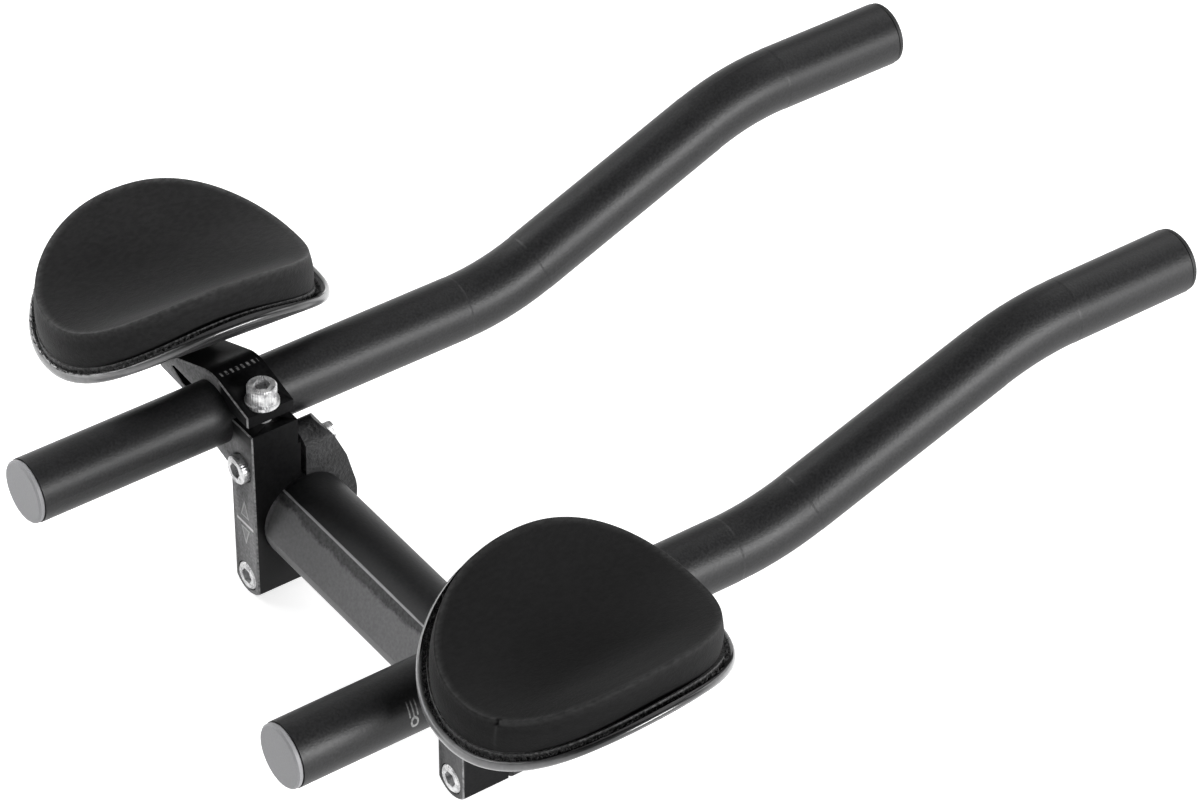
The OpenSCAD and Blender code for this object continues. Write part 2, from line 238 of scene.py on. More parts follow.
world = Finish("studio", bpy.data.worlds.new("studio"))
scene.world = world.material
brightness = seen_white(world) * (1 - AMBIENT) + AMBIENT
world.finish_with(world.add("Background", Color=WHITE, Strength=brightness))


def studio_square(name, half, height):
    """A level square of the studio, its half size and height given, kept off the model."""
    mesh = bpy.data.meshes.new(name)
    mesh.from_pydata([(x * half, y * half, height) for x, y in
                      ((-1, -1), (1, -1), (1, 1), (-1, 1))], [], [(0, 1, 2, 3)])
    made = bpy.data.objects.new(name, mesh)
    scene.collection.objects.link(made)
    return made


table = studio_square("table", TABLE_HALF, cad_box[0][2] - TABLE_GAP)
paper = Finish("white_paper")
lit = paper.add("BsdfDiffuse", Color=PAPER)
glow = paper.add("Emission", Color=WHITE, Strength=seen_white(paper) * PAPER_GLOW)
paper.finish_with(paper.add("AddShader", in0=lit, in1=glow))
table.data.materials.append(paper.material)

ceiling = studio_square("ceiling", CEILING_HALF, CEILING_HEIGHT)
ceiling.visible_camera = False
dark = Finish("dark_ceiling")
dark.finish_with(dark.add("BsdfDiffuse", Color=CEILING))
ceiling.data.materials.append(dark.material)


def softbox(name, place, aim, size, radiance):
    """A flat rectangular lamp at the place, facing the aim, of the given radiance."""
    data = bpy.data.lights.new(name, "AREA")
    data.shape = "RECTANGLE"
    data.size, data.size_y = size
    data.energy = radiance * np.pi * size[0] * size[1]
    lamp = bpy.data.objects.new(name, data)
    facing = Vector(place) - Vector(aim)
    lamp.rotation_euler = facing.to_track_quat("Z", "Y").to_euler()
    lamp.location = place
    scene.collection.objects.link(lamp)


softbox("streak_light", (2.2, 0.72, 0.76), MIDDLE, (1.4, 0.55), 29.0)
softbox("left_light", (-0.62, -0.25, 0.55), (-0.1, 0.0, 0.05), (0.6, 0.5), 6.0)
softbox("front_light", (-0.25, 1.05, 0.85), (0.0, 0.20, 0.05), (1.0, 0.6), 2.4)
softbox("rear_light", (-0.75, -1.25, 0.35), MIDDLE, (0.9, 0.6), 2.0)

# Extension bars: two drawn alloy tubes with an S-bend, bead-blasted to a fine even
# grain and anodised black. A plain ring and three ticks are printed on the right one.
BAR_OUT, BAR_HEIGHT = 75.0 * MM, 37.2 * MM
RING_Y, RING_HEIGHT, RING_RADIUS, RING_SQUEEZE = -50.2 * MM, 38.0 * MM, 1.6 * MM, 1.4
RING_LINE, INK_EDGE = 0.45 * MM, 0.3 * MM
TICKS_FROM, TICK_PITCH, TICK_COUNT = -52.3 * MM, 1.4 * MM, 3
TICK_FOOT, TICK_TOP, TICK_FADE = 40.0 * MM, 44.2 * MM, 1.5 * MM
ANODISED_BLACK, BLASTED_GREY = (0.004, 0.004, 0.0044), (0.022, 0.022, 0.023)
BAR_INK = (0.5, 0.5, 0.5)
CUT = 0.01 * MM


def dress(finish, *names):
    """Gives the finish to the named parts of the frame, in every material slot."""
    for name in names:
        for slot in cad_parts[name].material_slots:
            slot.material = finish.material


def both(name):
    """The names of the left and the right one."""
    return [name + "_left", name + "_right"]


def tick_row(along, start, count, pitch, origin, half, softness):
    """1 on each tick of a row: the middle of each pitch counted from the origin, to a
    half width given as a share of the pitch, over so many pitches from the start."""
    share = ((along - origin) / pitch).fraction()
    return (share - 0.5).size().below(half, softness) * along.above(start, CUT) * (
        along.below(start + count * pitch, CUT))


blasted = Finish("blasted_black")
grain = blasted.noise(1300, 2.0).ramp(0.3, 0.7)
cloud = blasted.noise(35, 3.0)
x, y, z = blasted.place()
away = (((y - RING_Y) * RING_SQUEEZE).squared() + (z - RING_HEIGHT).squared()).root()
ring = (away - RING_RADIUS).size().below(RING_LINE, INK_EDGE)
ticks = tick_row(y, TICKS_FROM, TICK_COUNT, TICK_PITCH, TICKS_FROM, 0.17, 0.1)
ticks = ticks * z.above(TICK_FOOT, INK_EDGE) * z.below(TICK_TOP, TICK_FADE)
printed = ring.larger(ticks) * x.above(BAR_OUT, 0.2 * MM)
black = blasted.mix(grain * 0.6 + cloud * 0.4, ANODISED_BLACK, BLASTED_GREY)
blasted.surface(
    Base_Color=blasted.mix(printed * (grain * 0.6 + 0.4), black, BAR_INK),
    Roughness=0.40 + cloud * 0.05 + grain * 0.06,
    Specular_IOR_Level=0.34,
    Normal=blasted.bump(grain, 0.05 * MM, 0.5))
dress(blasted, *both("extension_bar"))


# End plugs: moulded plastic, light grey ones in the rear ends and dark ones in the
# front ends, pressed in up to a thin rim.
def moulded(name, deep, painted_reflection, gloss):
    """A moulded plastic with a fine speckle between the deep and the pale colour."""
    finish = Finish(name)
    speck = finish.noise(1900, 3.0)
    return finish.surface(
        Base_Color=finish.mix(speck, deep, painted_reflection),
        Roughness=0.5 + speck * 0.1,
        Specular_IOR_Level=gloss,
        Normal=finish.bump(speck, 0.02 * MM, 0.4))


moulded_grey = moulded("moulded_grey", (0.24, 0.24, 0.25), (0.33, 0.33, 0.34), 0.5)
moulded_black = moulded("moulded_black", (0.012, 0.012, 0.0125), (0.022, 0.022, 0.023), 0.35)
dress(moulded_grey, *both("rear_plug"))
dress(moulded_black, *both("front_plug"))

# Crossbar: a 31.8 mm tube whose rear has a long flat pressed into it. The flat is drawn a
# little lighter than the rest. A thin bright line along its top edge is a painted highlight,
# and a pale zone with an uneven edge below it is a painted reflection.
FLAT_LEANS = np.radians(27.0)
FLAT_START, REFLECTION_START, REFLECTION_FADE = 8.4 * MM, 4.3 * MM, 1.4 * MM
CREASE_Y, CREASE_HEIGHT, CREASE_HALF = -8.2 * MM, 13.6 * MM, 0.42 * MM
REAR_HALF = -4.0 * MM
pressed = Finish("pressed_grey")
y, z = pressed.place()[1:]
grain = pressed.noise(900, 3.0).ramp(0.3, 0.7)
waves = pressed.noise(55, 3.0, stretch=(1.0, 0.1, 0.1))
down = y * -np.sin(FLAT_LEANS) + z * -np.cos(FLAT_LEANS) + FLAT_START
behind = y.below(REAR_HALF, 4 * MM)
# Painted reflection: the pale zone with a ragged edge below the crease. Painted highlight: the
# thin bright line along the crease.
band = down.above(0.0, 0.1 * MM) * behind
ragged = down + (waves - 0.5) * (8 * MM) + (grain - 0.5) * (0.7 * MM)
painted_reflection = ragged.above(REFLECTION_START, REFLECTION_FADE) * behind
away = ((y - CREASE_Y).squared() + (z - CREASE_HEIGHT).squared()).root()
crease_highlight = (away + (waves - 0.5) * (0.6 * MM)).below(CREASE_HALF, 0.25 * MM)
tone = pressed.mix(grain, (0.010, 0.010, 0.011), (0.018, 0.018, 0.019))
tone = pressed.mix(band, tone, pressed.mix(grain, (0.016, 0.016, 0.017), (0.07, 0.07, 0.072)))
tone = pressed.mix(painted_reflection, tone, pressed.mix(grain, (0.13, 0.13, 0.133), (0.18, 0.18, 0.183)))
pressed.surface(
    Base_Color=pressed.mix(crease_highlight, tone, (0.42, 0.42, 0.43)),
    Roughness=0.46 + grain * 0.08,
    Specular_IOR_Level=0.26,
    Normal=pressed.bump(waves * 0.85 + grain * 0.15, 0.3 * MM, 0.5))
dress(pressed, "crossbar")

# Clamp bodies: one casting at each side, machined and anodised black, with broken corners along
# the rear outline whose pale colour is a painted highlight. The rear face is drawn pale, partly
# its satin and partly painted light: full on the left one, half as pale on the right one, and
# darkened near the top of the ring by painted shade. The left one has two arrows and a line
# printed on its rear face, and a row of ticks on the cap of its ring.
CLAMP_OUT, BOLT_HEIGHT = 59.5 * MM, 23.6 * MM
REAR_TOP, REAR_Y, REAR_SLOPE = 55.3 * MM, -20.0 * MM, float(np.tan(np.radians(1.0)))
ARROW_OUT, ARROW_TIP, ARROW_FOOT, ARROW_HALF = 59.2 * MM, 9.6 * MM, 2.4 * MM, 2.5 * MM
ARROW_LINE = 0.5 * MM
BAR_LINE_HEIGHT, BAR_LINE_HALF, BAR_LINE_THICK = -0.5 * MM, 4.9 * MM, 0.55 * MM
CAP_OUT, CAP_HALF, CAP_HEIGHT = 73.7 * MM, 1.0 * MM, 40.0 * MM
CAP_FROM, CAP_PITCH, CAP_TICKS = -17.8 * MM, 2.06 * MM, 7
SHADED_OUT, SHADED_HEIGHT = 71.0 * MM, 34.0 * MM
CLAMP_INK = (0.75, 0.75, 0.75)
anodised = Finish("anodised_black")
x, y, z = anodised.place()
grain = anodised.noise(1000, 3.0).ramp(0.3, 0.7)
brush = anodised.noise(900, 3.0, stretch=(1.0, 1.0, 0.25))
depth = y - REAR_Y - (REAR_TOP - z) * REAR_SLOPE
rear = depth.below(0.2 * MM, 0.2 * MM)
beside, height = (x + ARROW_OUT).size(), z.size()
slant = float(np.hypot(ARROW_TIP - ARROW_FOOT, ARROW_HALF))
edge = beside * ((ARROW_TIP - ARROW_FOOT) / slant) + (height - ARROW_TIP) * (
    ARROW_HALF / slant)
edge = edge.larger(ARROW_FOOT - height)
arrows = edge.below(0.0, 0.15 * MM) * (edge.above(-ARROW_LINE, 0.2 * MM) * 0.75 + 0.25)
line = (z - BAR_LINE_HEIGHT).size().below(BAR_LINE_THICK, 0.15 * MM) * (
    beside.below(BAR_LINE_HALF, 0.2 * MM))
printed = line.larger(arrows * 0.6) * rear
cap = tick_row(y, CAP_FROM, CAP_TICKS, CAP_PITCH, 0.0, 0.2, 0.15) * (
    (x + CAP_OUT).size().below(CAP_HALF, 0.2 * MM)) * z.above(CAP_HEIGHT, 1 * MM)
# Painted light and shade on the rear face: the pale tone is part satin and part painted light,
# full on the left clamp and half on the right one. Painted shade takes it away near the top of
# the ring.
shaded = x.above(-SHADED_OUT, 2 * MM) * z.above(SHADED_HEIGHT, 6 * MM)
bare = rear * (0.5 + x.below(0.0, 10 * MM) * 0.5) * (1 - shaded)
black = anodised.mix(grain, (0.003, 0.003, 0.0033), (0.008, 0.008, 0.0085))
satin_and_light = anodised.mix(brush * 0.5 + grain * 0.5, (0.10, 0.10, 0.102), (0.36, 0.36, 0.365))
tone = anodised.mix(bare, black, satin_and_light)
anodised.surface(
    Base_Color=anodised.mix(printed + cap * grain * 0.5, tone, CLAMP_INK),
    Roughness=0.42 + rear * 0.08 + grain * 0.08,
    Specular_IOR_Level=0.09,
    Normal=anodised.bump(grain * 0.4 + brush * rear * 0.6, 0.04 * MM, 0.5))
dress(anodised, *both("clamp_body"))

# Painted highlight: the broken corners get a pale, patchy colour along the edges.
bare_edge = Finish("bare_edge")
highlight_patches = bare_edge.noise(700, 3.0).ramp(0.3, 0.7)
bare_edge.surface(
    Base_Color=bare_edge.mix(highlight_patches, (0.10, 0.10, 0.102), (0.42, 0.42, 0.425)),
    Roughness=0.35 + highlight_patches * 0.1,
    Specular_IOR_Level=0.4)

CORNER = 0.45 * MM
WELD, REAR_SLACK = 0.002 * MM, 0.05 * MM
RING_REACH, BOLT_REACH = 12.0 * MM, 6.0 * MM
CORNER_ANGLE, SHARP_ANGLE = np.radians(40), np.radians(30)


def broken_corners(side):
    """A joined copy of the clamp body whose rear outline has its corner taken off: the
    sharp outward edges that lie in the rear plane, apart from those of the holes."""
    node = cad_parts["clamp_body_" + side]
    work = bmesh.new()
    work.from_mesh(node.data)
    bmesh.ops.remove_doubles(work, verts=work.verts, dist=WELD)
    chosen = []
    for edge in work.edges:
        if len(edge.link_faces) != 2 or not edge.is_convex:
            continue
        (ax, ay, az), (bx, by, bz) = edge.verts[0].co, edge.verts[1].co
        out, high = (abs(ax) + abs(bx)) / 2, (az + bz) / 2
        flat = all(abs(v.co.y - REAR_Y - (REAR_TOP - v.co.z) * REAR_SLOPE) < REAR_SLACK
                   for v in edge.verts)
        bored = (np.hypot(out - BAR_OUT, high - BAR_HEIGHT) < RING_REACH
                 or np.hypot(out - CLAMP_OUT, abs(high) - BOLT_HEIGHT) < BOLT_REACH)
        if flat and not bored and edge.calc_face_angle(0.0) > CORNER_ANGLE:
            chosen.append(edge)
    made = bmesh.ops.bevel(work, geom=chosen, offset=CORNER, segments=1, affect="EDGES",
                           profile=0.5, clamp_overlap=False)
    for face in work.faces:
        face.smooth = True
    for face in made["faces"]:
        face.material_index = 1
    mesh = bpy.data.meshes.new("clamp_body_" + side + "_finished")
    work.to_mesh(mesh)
    work.free()
    mesh.set_sharp_from_angle(angle=SHARP_ANGLE)
    mesh.materials.append(anodised.material)
    mesh.materials.append(bare_edge.material)
    clamp = bpy.data.objects.new(mesh.name, mesh)
    scene.collection.objects.link(clamp)
    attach(clamp, "root")
    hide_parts(node.name)


for side in ("left", "right"):
    broken_corners(side)

# Clamp fronts: the front half of each crossbar clamp is a rough forging under black coating,
# bolted to the body above and below the crossbar. Its lumps are raised and also drawn lighter,
# a painted mottled highlight.
forged = Finish("forged_black")
lumps_and_glints = forged.noise(110, 4.0, roughness=0.6).ramp(0.4, 0.7)
grain = forged.noise(1000, 2.0).ramp(0.3, 0.7)
forged.surface(
    Base_Color=forged.mix(lumps_and_glints * 0.7 + grain * 0.3,
                          (0.003, 0.003, 0.0033), (0.055, 0.055, 0.057)),
    Roughness=0.5 + lumps_and_glints * 0.15,
    Specular_IOR_Level=0.4,
    Normal=forged.bump(lumps_and_glints * 0.8 + grain * 0.2, 0.6 * MM, 0.8))
dress(forged, *both("clamp_front"))

# Bolts: zinc-plated steel socket heads, blotchy and knurled round the head, and the
# plain washer under each pinch bolt. Pinch bolts stand upright, clamp bolts lie level.
PINCH_Y, PINCH_HEIGHT = -11.0 * MM, 43.0 * MM
KNURLS = 34.0
plated = Finish("zinc_plated")
x, y, z = plated.place()
blotch = plated.noise(380, 3.0).ramp(0.3, 0.7)
beside = x.size() - CLAMP_OUT
upright = z.above(PINCH_HEIGHT, 1 * MM)
turn = (y - PINCH_Y).angle_over(beside) * upright + (
    (z.size() - BOLT_HEIGHT).angle_over(beside) * (1 - upright))
knurl = (turn * KNURLS).sine() * 0.5 + 0.5
plated.surface(
    Base_Color=plated.mix(blotch, (0.38, 0.38, 0.39), (1.0, 1.0, 1.0)),
    Metallic=0.5,
    Roughness=0.2 + blotch * 0.2,
    Normal=plated.bump(blotch * 0.7 + knurl * 0.3, 0.35 * MM, 0.8))
dress(plated, *both("clamp_bolt_upper"), *both("clamp_bolt_lower"), *both("pinch_bolt"),
      *both("pinch_washer"), *both("cup_screw_front"), *both("cup_screw_rear"))

# Forearm cups: a moulded dished cup on a short riser at each side. Its polished rim is rolled
# to a rounded lip, the bright line around every pad, drawn pale towards the front and rear ends
# of the cup as a painted highlight. From here on the sizes are millimetres in a cup's own
# frame.
ARM_OUT, ARM_BACK, CUP_HEIGHT = 108.1, 11.0, 49.8
TILT, TOE_IN = np.radians([4.7, 3.4])
CUP_HALF = np.array([42.1, 49.4])
CUP_RADIUS, CUP_WALL = 55.2, 3.0
FULLNESS = 2.18
LIP_HALF, LIP_INSET, LIP_DIP = np.array([1.15, 1.85]), 0.35, 0.35
LIP_STEPS, LIP_ROUND = 360, 20
LIP_HIGHLIGHT_FROM, LIP_HIGHLIGHT_FULL = 20 * MM, 44 * MM
MIRROR_SLIDE_SHIFT = {"left": (1.0, -0.2, -1.5), "right": (-1.0, 4.9, -0.3)}


def on_cup(points, side, stuck=False):
    """Takes points in millimetres from a cup's own frame, x towards the middle, y
    forward and z up from the bottom of the dish, to their place in metres: a slide
    along y, with the shift added for what is stuck into the cup, a tilt about y, a turn
    about z, the arm's place, and a mirror for the right."""
    mirror, slide, shift = MIRROR_SLIDE_SHIFT[side]
    x, y, z = points[..., 0], points[..., 1] + slide + shift * stuck, points[..., 2]
    x, z = np.cos(TILT) * x - np.sin(TILT) * z, np.sin(TILT) * x + np.cos(TILT) * z
    x, y = np.cos(TOE_IN) * x + np.sin(TOE_IN) * y, np.cos(TOE_IN) * y - np.sin(TOE_IN) * x
    return np.stack([mirror * (x - ARM_OUT), y - ARM_BACK, z + CUP_HEIGHT], axis=-1) * MM


def oval(turn, half):
    """Points of a slightly full ellipse: each coordinate is its half size times the
    cosine or sine of the turn, raised to the power 2 / fullness with its sign kept."""
    c, s = np.cos(turn), np.sin(turn)
    power = 2 / FULLNESS
    return np.stack([half[..., 0] * np.sign(c) * np.abs(c) ** power,
                     half[..., 1] * np.sign(s) * np.abs(s) ** power], axis=-1)


def dish(x, radius, bottom):
    """Height of a round trough along y: its bottom plus the circle's rise at x."""
    return bottom + radius - np.sqrt(radius ** 2 - x ** 2)


def outward_mesh(name, points, faces):
    """A mesh from points and three- or four-sided faces, turned outwards."""
    mesh = bpy.data.meshes.new(name)
    mesh.from_pydata(points.reshape(-1, 3).tolist(), [], [tuple(f) for f in faces])
    work = bmesh.new()
    work.from_mesh(mesh)
    bmesh.ops.recalc_face_normals(work, faces=work.faces)
    work.to_mesh(mesh)
    work.free()
    return mesh


def piece(name, points, faces, finish):
    """A smooth mesh piece that rides on the handlebar."""
    mesh = outward_mesh(name, points, faces)
    mesh.materials.append(finish.material)
    mesh.polygons.foreach_set("use_smooth", np.ones(len(mesh.polygons), dtype=bool))
    made = bpy.data.objects.new(name, mesh)
    scene.collection.objects.link(made)
    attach(made, "root")
    return made


def ring_faces(rows, columns, close_rows=False):
    """Four-sided faces between the rows of a grid whose columns run round. With
    close_rows the last row joins the first, as on a torus."""
    span = rows if close_rows else rows - 1
    r, c = np.meshgrid(np.arange(span), np.arange(columns), indexing="ij")
    after, beside = (r + 1) % rows, (c + 1) % columns
    return np.stack([r * columns + c, r * columns + beside,
                     after * columns + beside, after * columns + c], axis=-1).reshape(-1, 4)


polished = Finish("polished_black")
scuff = polished.noise(400, 3.0)
# Painted highlight: the lip grows pale towards the cup's front and rear ends.
highlit_ends = (polished.place()[1] + ARM_BACK * MM).size().ramp(LIP_HIGHLIGHT_FROM, LIP_HIGHLIGHT_FULL)
polished.surface(
    Base_Color=polished.mix(highlit_ends * (scuff * 0.6 + 0.4),
                            (0.015, 0.015, 0.0155), (0.28, 0.28, 0.284)),
    Roughness=0.24 + scuff * 0.14,
    Coat_Weight=0.7,
    Coat_Roughness=0.14,
    Normal=polished.bump(scuff, 0.05 * MM, 0.4))
moulded_cup = Finish("moulded_cup")
scuff = moulded_cup.noise(300, 3.0)
moulded_cup.surface(
    Base_Color=moulded_cup.mix(scuff, (0.008, 0.008, 0.0085), (0.02, 0.02, 0.0205)),
    Roughness=0.45 + scuff * 0.15,
    Specular_IOR_Level=0.3,
    Normal=moulded_cup.bump(scuff, 0.05 * MM, 0.4))
dress(moulded_cup, *both("arm_cup"))
dress(moulded_black, *both("riser"))


def lip(side):
    """Carries a flattened circle along the rim of the cup: the rim is the oval on the
    middle of the dished wall, and the circle lies in the plane of the rim's outward
    direction and the upward one, less tall by a third halfway along each long side."""
    turn = np.linspace(0, 2 * np.pi, LIP_STEPS, endpoint=False)[:, None]
    around = np.linspace(0, 2 * np.pi, LIP_ROUND, endpoint=False)[None, :]
    rim = oval(turn, CUP_HALF[None, None, :] - LIP_INSET)
    ahead = np.roll(rim, -1, axis=0) - np.roll(rim, 1, axis=0)
    out = np.stack([ahead[..., 1], -ahead[..., 0]], axis=-1)
    out /= np.linalg.norm(out, axis=-1, keepdims=True)
    x = rim[..., 0] + out[..., 0] * LIP_HALF[0] * np.cos(around)
    y = rim[..., 1] + out[..., 1] * LIP_HALF[0] * np.cos(around)
    tall = LIP_HALF[1] * (1 - LIP_DIP * np.cos(turn) ** 4)
    z = dish(rim[..., 0], CUP_RADIUS - CUP_WALL / 2, CUP_WALL / 2) + tall * np.sin(around)
    piece("cup_lip_" + side, on_cup(np.stack([x, y, z], axis=-1), side),
          ring_faces(LIP_STEPS, LIP_ROUND, close_rows=True), polished)


for side in MIRROR_SLIDE_SHIFT:
    lip(side)

# Hook-and-loop sheet: glued into the cup and cut a little larger than the pad. Its edge
# is torn and fuzzy, and fills the ledge between the pad and the lip.
PAD_FOOT = np.array([39.3, 46.5])
SHEET = 1.8
FIBRES = 5200
FIBRE_HALF_WIDTH, FIBRE_LENGTHS = 0.13, (0.8, 2.3)
EDGE_SPREAD, EDGE_LEANS, LEAN_UP = (-0.6, 1.7), (-0.3, 0.5), 0.6
pile = Finish("loop_pile")
tuft = pile.noise(900, 3.0)
pile.surface(
    Base_Color=pile.mix(tuft.ramp(0.4, 0.65), (0.002, 0.002, 0.002), (0.09, 0.09, 0.091)),
    Roughness=0.8,
    Sheen_Weight=0.3,
    Normal=pile.bump(tuft, 0.4 * MM, 0.8))
dress(pile, *both("hook_loop"))


def torn_edge(side, seed):
    """Thousands of short flat fibres around the sheet's edge: each is a thin triangle
    rooted at a random turn and distance from the edge, leaning outwards and up at
    random."""
    draw = np.random.default_rng(seed)
    turn = draw.uniform(0, 2 * np.pi, FIBRES)
    ring = oval(turn, PAD_FOOT[None, :] + draw.uniform(*EDGE_SPREAD, FIBRES)[:, None])
    root = np.column_stack([ring, dish(ring[:, 0], CUP_RADIUS - CUP_WALL, CUP_WALL)])
    out = np.column_stack([np.cos(turn), np.sin(turn), np.zeros(FIBRES)])
    lean = out * draw.uniform(*EDGE_LEANS, FIBRES)[:, None] + draw.normal(0, 0.5, (FIBRES, 3))
    lean[:, 2] = np.abs(lean[:, 2]) + LEAN_UP
    lean *= (draw.uniform(*FIBRE_LENGTHS, FIBRES) / np.linalg.norm(lean, axis=1))[:, None]
    across = np.cross(lean, draw.normal(0, 1, (FIBRES, 3)))
    across *= FIBRE_HALF_WIDTH / np.linalg.norm(across, axis=1, keepdims=True)
    points = np.stack([root - across, root + across, root + lean], axis=1)
    piece("torn_edge_" + side, on_cup(points, side, stuck=True),
          np.arange(3 * FIBRES).reshape(-1, 3), pile)


torn_edge("left", 11)
torn_edge("right", 12)

# Forearm pads: firm foam under a tight black knit that swells a little over it, with a dished
# top, a nearly upright wall and a fused seam along the top edge, drawn lighter. The right
# cover's wall shows its joint as a light line with a small notch, and the whole right cover is
# drawn at half the colour with less sheen, as painted shade.
WALL_HEIGHT, WALL_DRAFT, WALL_BULGE = 39.7, np.array([3.7, 0.9]), 0.6
PAD_BOTTOM = CUP_WALL + SHEET
PAD_TOP, PAD_RADIUS, CROWN = PAD_BOTTOM + 12.9, 47.3, 0.9
EDGE_ROUND, EDGE_BEAD = 0.8, 0.22
UNDER_GAP = 0.15
MEETING_STEPS = 12
TOP_ROWS, EDGE_ROWS, WALL_ROWS, UNDER_ROWS = 40, 6, 21, 15
WALL_START = TOP_ROWS + EDGE_ROWS
ROUND, INNERMOST = 400, 0.03
JOINT, JOINT_WIDTH, JOINT_TRAIL = 4.335, 0.012, 0.25
NOTCH_WIDTH, NOTCH_DEPTH, NOTCH_DROP = 0.02, 0.02, 0.6


def cover(name, light_level, sheen):
    """The knit cover: ribs across the pad, fine fuzz, broad cloudy patches, a lighter fused
    seam and the joint in the wall, the cloth's colours scaled by the light level, which paints
    shade where it is below 1."""
    knit = Finish(name)
    rib = knit.noise(800, 2.0, stretch=(1.0, 0.5, 1.0)).ramp(0.35, 0.65)
    fuzz = knit.noise(1800, 2.0).ramp(0.35, 0.65)
    patches = knit.noise(28, 3.0)
    seam = knit.add("Attribute", {"attribute_name": "seam"}, out="Fac")
    joint = knit.add("Attribute", {"attribute_name": "joint"}, out="Fac")
    cloth = knit.mix(patches * 0.4 + rib * 0.35 + fuzz * 0.25,
                     light_level * np.array([0.0028, 0.0028, 0.003]),
                     light_level * np.array([0.0162, 0.016, 0.0164]))
    return knit.surface(
        Base_Color=knit.mix(seam * (rib * 0.3 + 0.3) + joint, cloth, light_level * np.full(3, 0.1)),
        Roughness=0.82 + fuzz * 0.1,
        Specular_IOR_Level=0.2,
        Sheen_Weight=sheen,
        Sheen_Roughness=0.45,
        Normal=knit.bump(rib * 0.5 + fuzz * 0.5, 0.09 * MM, 0.7))


# Painted shade: the right cover is the same knit at half the colour and with less sheen.
COVERS = {"left": cover("black_knit", 1.0, 0.16), "right": cover("deep_black_knit", 0.5, 0.08)}


def wall_oval(turn, height):
    """The pad's outline at a height: the foot's oval drawn in by the wall's draft."""
    return oval(turn, PAD_FOOT - WALL_DRAFT * (height / WALL_HEIGHT)[..., None])


def wall_meets(turn, radius, bottom):
    """Height at which the wall meets a trough, by stepping between the outline at a
    height and the trough's height over it until they agree."""
    height = np.full_like(turn, bottom + 10.0)
    for _ in range(MEETING_STEPS):
        height = dish(wall_oval(turn, height)[..., 0], radius, bottom)
    return height


def pad_skin(turn):
    """The pad's skin as rows of points from the middle of the top to the middle of the
    underside, and how light the seam is at each row: the top is the oval shrunk towards the
    middle and laid on the dish with a low crown, the edge is a quarter round with a bead, the
    wall is straight with a slight bulge, and the underside is laid on the sheet's dish."""
    rim = wall_oval(turn, wall_meets(turn, PAD_RADIUS, PAD_TOP))
    foot = wall_meets(turn, CUP_RADIUS - PAD_BOTTOM, PAD_BOTTOM)
    base = wall_oval(turn, foot)
    rows = []
    inner = rim * (1 - EDGE_ROUND / np.linalg.norm(rim, axis=-1, keepdims=True))
    for t in np.linspace(INNERMOST, 1, TOP_ROWS) ** 0.9:
        flat = inner * t
        rise = CROWN * (1 - t ** 4) * t ** 2
        rows.append((flat, dish(flat[..., 0], PAD_RADIUS, PAD_TOP) + rise,
                     max(0.0, 1 - (1 - t) * 30)))
    high = rows[-1][1]
    for a in np.linspace(0, np.pi / 2, EDGE_ROWS + 1)[1:]:
        flat = inner + (rim - inner) * np.sin(a)
        bead = EDGE_BEAD * np.sin(2 * a)
        rows.append((flat, high - EDGE_ROUND * (1 - np.cos(a)) + bead, np.cos(a * 0.8)))
    high = rows[-1][1]
    for t in np.linspace(0, 1, WALL_ROWS + 1)[1:]:
        flat = rim * (1 - t) + base * t
        length = np.linalg.norm(flat, axis=-1, keepdims=True)
        flat = flat * (1 + WALL_BULGE * np.sin(np.pi * t) / length)
        rows.append((flat, high * (1 - t) + (foot + UNDER_GAP) * t, max(0.0, 0.25 - t)))
    for t in np.linspace(1, INNERMOST, UNDER_ROWS + 1)[1:]:
        flat = base * t
        under = dish(flat[..., 0], CUP_RADIUS - PAD_BOTTOM, PAD_BOTTOM) + UNDER_GAP
        rows.append((flat, under, 0.0))
    skin = np.stack([np.column_stack([flat, height]) for flat, height, _ in rows])
    return skin, np.array([seam_light for _, _, seam_light in rows])


def closed(skin):
    """The points and faces of the skin, with a point in the middle of the top and of
    the underside that its first and last row run to in triangles."""
    rows, columns = skin.shape[:2]
    points = np.vstack([skin.reshape(-1, 3), [[0, 0, PAD_TOP], [0, 0, PAD_BOTTOM + UNDER_GAP]]])
    column = np.arange(columns)
    beside, last = (column + 1) % columns, (rows - 1) * columns
    top = np.column_stack([column, beside, np.full(columns, rows * columns)])
    under = np.column_stack([column + last, beside + last,
                             np.full(columns, rows * columns + 1)])
    return points, [*ring_faces(rows, columns), *top, *under]


COARSE = 72
HELD_ROWS = UNDER_ROWS + 4
PRESSURE, BENDING, FRAMES = 4.0, 8.0, 20
SWELL, EVENING_ROUNDS = 0.8, 12


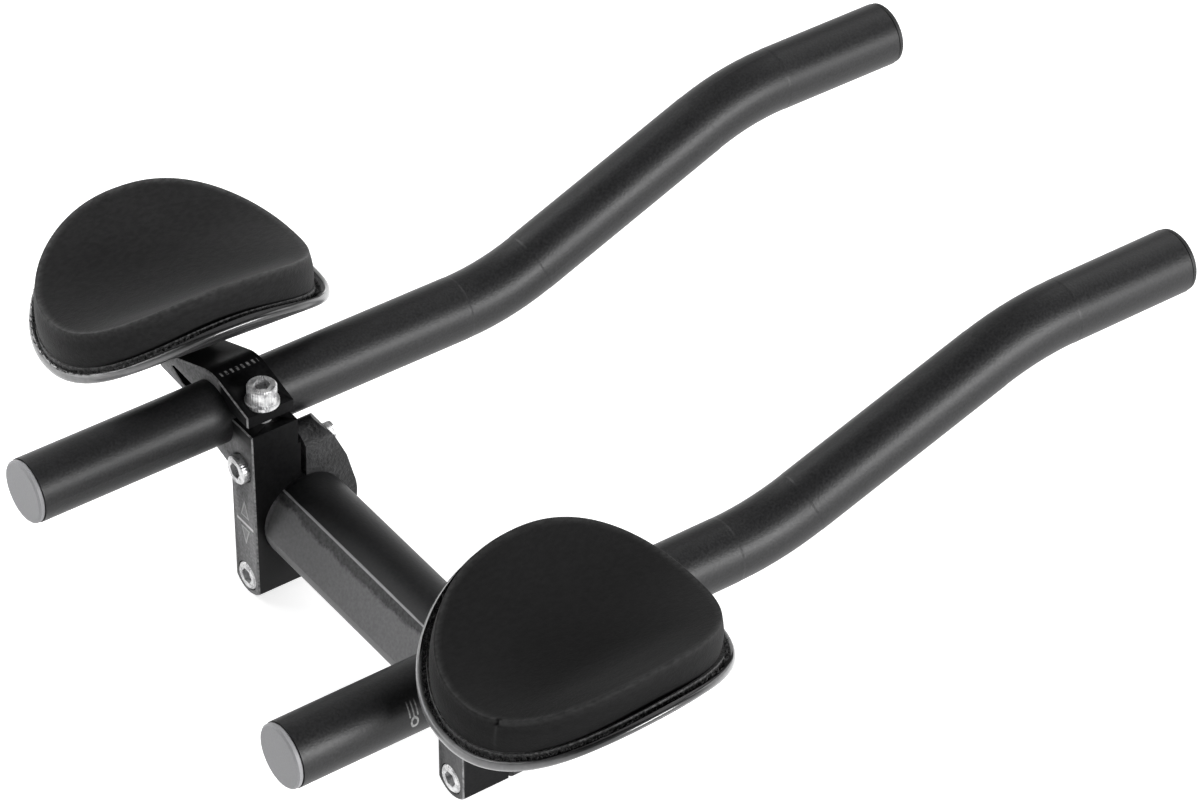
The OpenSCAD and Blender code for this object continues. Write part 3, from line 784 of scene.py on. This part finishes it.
def swollen():
    """How far the cover swells over the foam, and the turns that this is known at: Cloth
    runs on a coarse copy of the skin, held at its foot and underside, with pressure and
    no gravity. Each point's move is kept under the cap, in millimetres, and evened out
    with its neighbours', as the stretched cover shows no folds."""
    turn = np.linspace(0, 2 * np.pi, COARSE, endpoint=False)
    skin, _ = pad_skin(turn)
    rows = len(skin)
    points, faces = closed(skin)
    points = points * MM
    balloon = bpy.data.objects.new("balloon", outward_mesh("balloon", points, faces))
    scene.collection.objects.link(balloon)
    held = balloon.vertex_groups.new(name="held")
    stay = [*range((rows - HELD_ROWS) * COARSE, rows * COARSE), rows * COARSE + 1]
    held.add(stay, 1.0, "REPLACE")
    cloth = balloon.modifiers.new("cloth", "CLOTH")
    cloth.settings.vertex_group_mass = "held"
    cloth.settings.use_pressure = True
    cloth.settings.uniform_pressure_force = PRESSURE
    cloth.settings.bending_stiffness = BENDING
    cloth.settings.effector_weights.gravity = 0.0
    cloth.point_cache.frame_end = FRAMES
    for frame_number in range(1, FRAMES + 1):
        scene.frame_set(frame_number)
    shown = balloon.evaluated_get(bpy.context.evaluated_depsgraph_get())
    found = np.empty(points.size)
    shown.data.vertices.foreach_get("co", found)
    scene.frame_set(1)
    bpy.data.objects.remove(balloon)
    moved = (found.reshape(-1, 3) - points)[:rows * COARSE] / MM
    length = np.linalg.norm(moved, axis=1, keepdims=True)
    moved *= np.minimum(1.0, SWELL / np.maximum(length, 1e-9))
    moved = moved.reshape(rows, COARSE, 3)
    for _ in range(EVENING_ROUNDS):
        across = (np.roll(moved, 1, axis=1) + np.roll(moved, -1, axis=1)) / 4 + moved / 2
        above, below = across[[0, *range(rows - 1)]], across[[*range(1, rows), rows - 1]]
        moved = (above + below) / 4 + across / 2
    return turn, moved


def wall_joint(turn, rows):
    """How light each point of the skin is for the joint in the wall's cover: a narrow
    line down the wall, and one along its top edge after it that fades with the turn."""
    light = np.zeros((rows, ROUND))
    after = (JOINT - turn + np.pi) % (2 * np.pi) - np.pi
    fade = np.linspace(0.5, 0.1, WALL_ROWS - 1)[:, None]
    light[WALL_START:WALL_START + WALL_ROWS - 1] = np.exp(-(after / JOINT_WIDTH) ** 2) * fade
    trail = np.where(after > 0, np.exp(-after / JOINT_TRAIL) / 2, 0.0)
    light[TOP_ROWS + 1:WALL_START + 1] = trail
    return light


def pad(side, swelling):
    """The pad's skin with its swelling, and with the notch and the light joint in the
    edge and wall of the right one."""
    turn = np.linspace(0, 2 * np.pi, ROUND, endpoint=False)
    skin, seam_light = pad_skin(turn)
    light = np.zeros((len(skin), ROUND))
    if swelling is not None:
        known, moved = swelling
        for row, moves in zip(skin, moved):
            row += np.column_stack([np.interp(turn, known, moves[:, axis], period=2 * np.pi)
                                    for axis in range(3)])
    if side == "right":
        near = np.exp(-((turn - JOINT) / NOTCH_WIDTH) ** 2)
        skin[TOP_ROWS:WALL_START + 1, :, :2] *= 1 - NOTCH_DEPTH * near[None, :, None]
        skin[TOP_ROWS:WALL_START + 1, :, 2] -= NOTCH_DROP * near
        light = wall_joint(turn, len(skin))
    points, faces = closed(skin)
    made = piece("pad_" + side + "_cover", on_cup(points, side, stuck=True), faces,
                 COVERS[side])
    for name, marks in (("seam", np.repeat(seam_light, ROUND)), ("joint", light.ravel())):
        attribute = made.data.attributes.new(name, "FLOAT", "POINT")
        attribute.data.foreach_set("value", np.append(marks, [0.0, 0.0]).astype(np.float32))
    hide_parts("pad_" + side)


swelling = swollen()
for side in MIRROR_SLIDE_SHIFT:
    pad(side, swelling)
